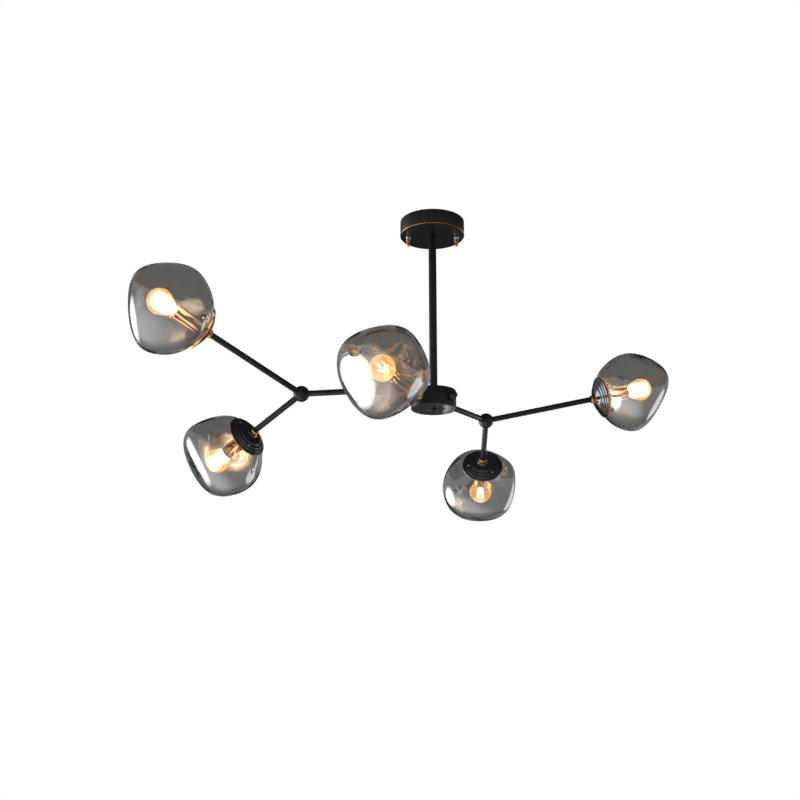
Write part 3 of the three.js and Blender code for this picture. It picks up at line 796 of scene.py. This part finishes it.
filament_finish = Finish(bpy.data.materials.new("lit_filament"))
grain = filament_finish.noise(700)
lit = filament_finish.surface(filament_finish.principled({
    "Base Color": (0.9, 0.6, 0.25, 1),
    "Roughness": 0.6,
    "Emission Color": filament_finish.between(grain, (1, 0.66, 0.3, 1), (1, 0.8, 0.5, 1)),
    "Emission Strength": 30,
}))


def bulb_glass(name, start, way):
    """Clear glass that takes the glow: white along its middle, amber at its tip and its edge."""
    finish = Finish(bpy.data.materials.new(f"bulb_glass_{name}"))
    from_crown, height = up_the_lamp(finish, start, way)
    outwards = vector(finish, "NORMALIZE", {0: lowered(finish, from_crown, way, height)})
    edge = finish.node("ShaderNodeLayerWeight", "Facing", None, {"Blend": 0.5})
    flank = finish.node("ShaderNodeLayerWeight", "Facing", None, {"Blend": 0.5, "Normal": outwards})
    ripple = finish.noise(60)
    hot = (1 - flank).rising(0.5, 1.05) * (1 - height.rising(0.098, 0.122))
    return finish.surface(finish.principled({
        "Base Color": (0.9, 0.62, 0.3, 1),
        "Roughness": 0.03 + 0.02 * ripple,
        "Alpha": 0.18 + 0.7 * edge ** 3,
        "Emission Color": finish.between(hot, (0.037, 0.017, 0.003, 1), (1, 0.8, 0.5, 1)),
        "Emission Strength": 90,
        "Normal": finish.bump(ripple, 0.0001),
    }))


# The glass stem glows faintly amber: painted light from the filaments.
stem_finish = Finish(bpy.data.materials.new("bulb_stem_glass"))
stem_glass = stem_finish.surface(stem_finish.principled({
    "Base Color": (0.95, 0.75, 0.45, 1),
    "Roughness": 0.08 + 0.05 * stem_finish.noise(300),
    "Alpha": 0.5,
    "Emission Color": (1, 0.5, 0.15, 1),
    "Emission Strength": 1.2,
}))
nickel = metal(
    "nickel_base", dull=(0.55, 0.53, 0.5), bright=(0.7, 0.68, 0.64),
    smooth=0.18, rough=0.3, patches=300,
)
envelope = turned("bulb_envelope", [
    (6.6, 72), (6.8, 73.6), (9.2, 74.5), (10.2, 75.8), (11.4, 77.6), (12.9, 79.8), (14.6, 82.3),
    (16.5, 85.7), (18.1, 89.4), *arc(radius=22.5, centre=104.6, start=-30, end=90, steps=20),
], sides=64, finish=lit)

thread_root = 6.3
thread_crest = 6.9
thread_foot = 54
half_pitch = 1.4
thread = [
    (thread_crest if step % 2 else thread_root, thread_foot + half_pitch * step)
    for step in range(12)
]
base = turned("bulb_base", [
    (0.4, 50.1), (2.8, 50.1), (3, 50.5), (3, 52.1), (thread_root, 52.1), (6.7, 53), *thread,
    (6.7, 70.4), (thread_crest, 71.4), (thread_crest, 73.8), (thread_root, 74), (0, 74),
], sides=40, finish=nickel)
glass_stem = turned("bulb_stem", [
    (5, 74.2), (4.6, 78), (3, 82), (2.2, 86), (1.6, 92), (1.3, 104), (1.7, 105), (1.3, 106),
    (0, 106.4),
], sides=28, finish=stem_glass)
stick = turned("filament", [
    (0.4, 0), (1.1, 0.4), (1.1, 25.6), (0.4, 26), (0.3, 26.4),
], sides=16, finish=lit)
wire_radius = 0.25
wire_length = 9
wire = turned("filament_wire", [
    (wire_radius, 0), (wire_radius, wire_length),
], sides=8, finish=nickel)


def leaning(out, height, lean):
    """A spot beside the middle of a lamp, tipped outwards, in mm and degrees."""
    return Matrix.Translation((out * mm, 0, height * mm)) @ Matrix.Rotation(radians(lean), 4, "Y")


filament_turns = (45, 135, 225, 315)
filament_stand = leaning(out=3.6, height=91, lean=9)
wire_stand = leaning(out=1.8, height=83, lean=13)
for name in lamps:
    spot = lamp_spot[name]
    body = f"bulb_{name}"
    globe = placed(envelope, f"envelope_{name}", spot)
    globe.data.materials[0] = bulb_glass(name, crown[name], lamp_way[name])
    fixed(globe, body, "bulb_glass", f"bulb_{name}")
    fixed(placed(base, f"base_{name}", spot), body, "chrome")
    fixed(placed(glass_stem, f"glass_stem_{name}", spot), body, "bulb_glass")
    for number, turn in enumerate(filament_turns):
        side = swung(spot, turn)
        fixed(placed(stick, f"filament_{name}_{number}", side @ filament_stand), body, "bulb_glass")
        fixed(placed(wire, f"filament_wire_{name}_{number}", side @ wire_stand), body, "chrome")
for piece in (envelope, base, glass_stem, stick, wire):
    bpy.data.objects.remove(piece)


# Shades: thick smoke-grey glass blown into one pebble mould and lightly mirrored, all five alike.
# Each is turned its own way round its lamp, and its mouth sits under the rim of the cup.

shade_radius = 76
shade_wall = 2.2
mouth_radius = 37
mouth_top = 17.22
mouth_collar = 2.4
mouth_foot = mouth_top + mouth_collar
mouth_tilt = 29.1325
last_tilt = 180 - mouth_tilt
shade_middle = mouth_foot + (shade_radius ** 2 - mouth_radius ** 2) ** 0.5
blend_start = 115
softness = 5
ball_share = 1.18
# The flat sides of the pebble: tilt and turn in degrees, and how far out, against the radius.
flats = [
    (45, -10, 0.87),
    (80, 160, 1),
    (100, 90, 1.05),
    (60, 240, 1.05),
    (130, 0, 1.15),
    (140, 220, 1.05),
]


def heading(tilt, turn):
    """The direction at a tilt from the far end of the shade and a turn round its axis."""
    swing, lean = radians(turn), radians(tilt)
    return Vector((sin(lean) * cos(swing), sin(lean) * sin(swing), cos(lean)))


def pebble_reach(out, tilt):
    """How far the pebble goes from its middle along a direction. Near the mouth it is round."""
    total = (1 / (ball_share * shade_radius)) ** softness
    for flat_tilt, flat_turn, share in flats:
        facing = out.dot(heading(flat_tilt, flat_turn))
        if facing > 0:
            total += (facing / (share * shade_radius)) ** softness
    blend = min(max((tilt - blend_start) / (last_tilt - blend_start), 0), 1)
    blend = blend * blend * (3 - 2 * blend)
    return total ** (-1 / softness) * (1 - blend) + shade_radius * blend


smoke = Finish(bpy.data.materials.new("smoked_glass"))
swirl = smoke.noise(14)
glass = smoke.principled({
    "Base Color": smoke.between(swirl, (0.33, 0.32, 0.31, 1), (0.355, 0.345, 0.335, 1)),
    "Roughness": 0.0,
    "IOR": 2.4,
    "Transmission Weight": 1.0,
    "Normal": smoke.bump(swirl, 0.002),
})
let_through = smoke.node("ShaderNodeBsdfTransparent", 0, None, {"Color": (0.45, 0.43, 0.41, 1)})
lamp_ray = smoke.node("ShaderNodeLightPath", "Is Shadow Ray")
either = smoke.node("ShaderNodeMixShader", 0, None, {0: lamp_ray, 1: glass, 2: let_through})
smoked = smoke.surface(either)

rings = 44
bpy.ops.object.select_all(action="DESELECT")
bpy.ops.mesh.primitive_uv_sphere_add(segments=72, ring_count=rings, radius=1)
shade = bpy.context.object
shade.name = "shade"
last_ring = 180 * (rings - 1) / rings
for point in shade.data.vertices:
    tilt = degrees(point.co.angle(Vector((0, 0, 1)), 0)) * last_tilt / last_ring
    turn = degrees(point.co.xy.angle_signed(Vector((1, 0)), 0))
    out = heading(tilt, turn)
    point.co = (out * pebble_reach(out, tilt) + Vector((0, 0, shade_middle))) * mm
bpy.ops.object.mode_set(mode="EDIT")
bpy.ops.mesh.select_all(action="DESELECT")
bpy.ops.object.mode_set(mode="OBJECT")
pole_size = 1
for point in shade.data.vertices:
    point.select = point.co.z < mouth_foot * mm and point.co.xy.length < pole_size * mm
bpy.ops.object.mode_set(mode="EDIT")
bpy.ops.mesh.delete(type="VERT")
bpy.ops.mesh.select_mode(type="EDGE")
bpy.ops.mesh.select_non_manifold()
bpy.ops.mesh.extrude_region_move(TRANSFORM_OT_translate={"value": (0, 0, -mouth_collar * mm)})
bpy.ops.object.mode_set(mode="OBJECT")
wall = shade.modifiers.new("wall", "SOLIDIFY")
wall.thickness = shade_wall * mm
wall.offset = -1
wall.use_even_offset = True
bpy.ops.object.modifier_apply(modifier=wall.name)
smoothed(shade, below=radians(40))
shade.data.materials.append(smoked)

shade_turns = {"upper_left": 165, "lower_left": 225, "front": 205, "far_right": 5, "rear": 205}
for name, turn in shade_turns.items():
    shade_copy = placed(shade, f"shade_{name}", swung(lamp_spot[name], turn))
    fixed(shade_copy, f"shade_{name}", "smoked_glass", f"glass_shade_{name}")
bpy.data.objects.remove(shade)
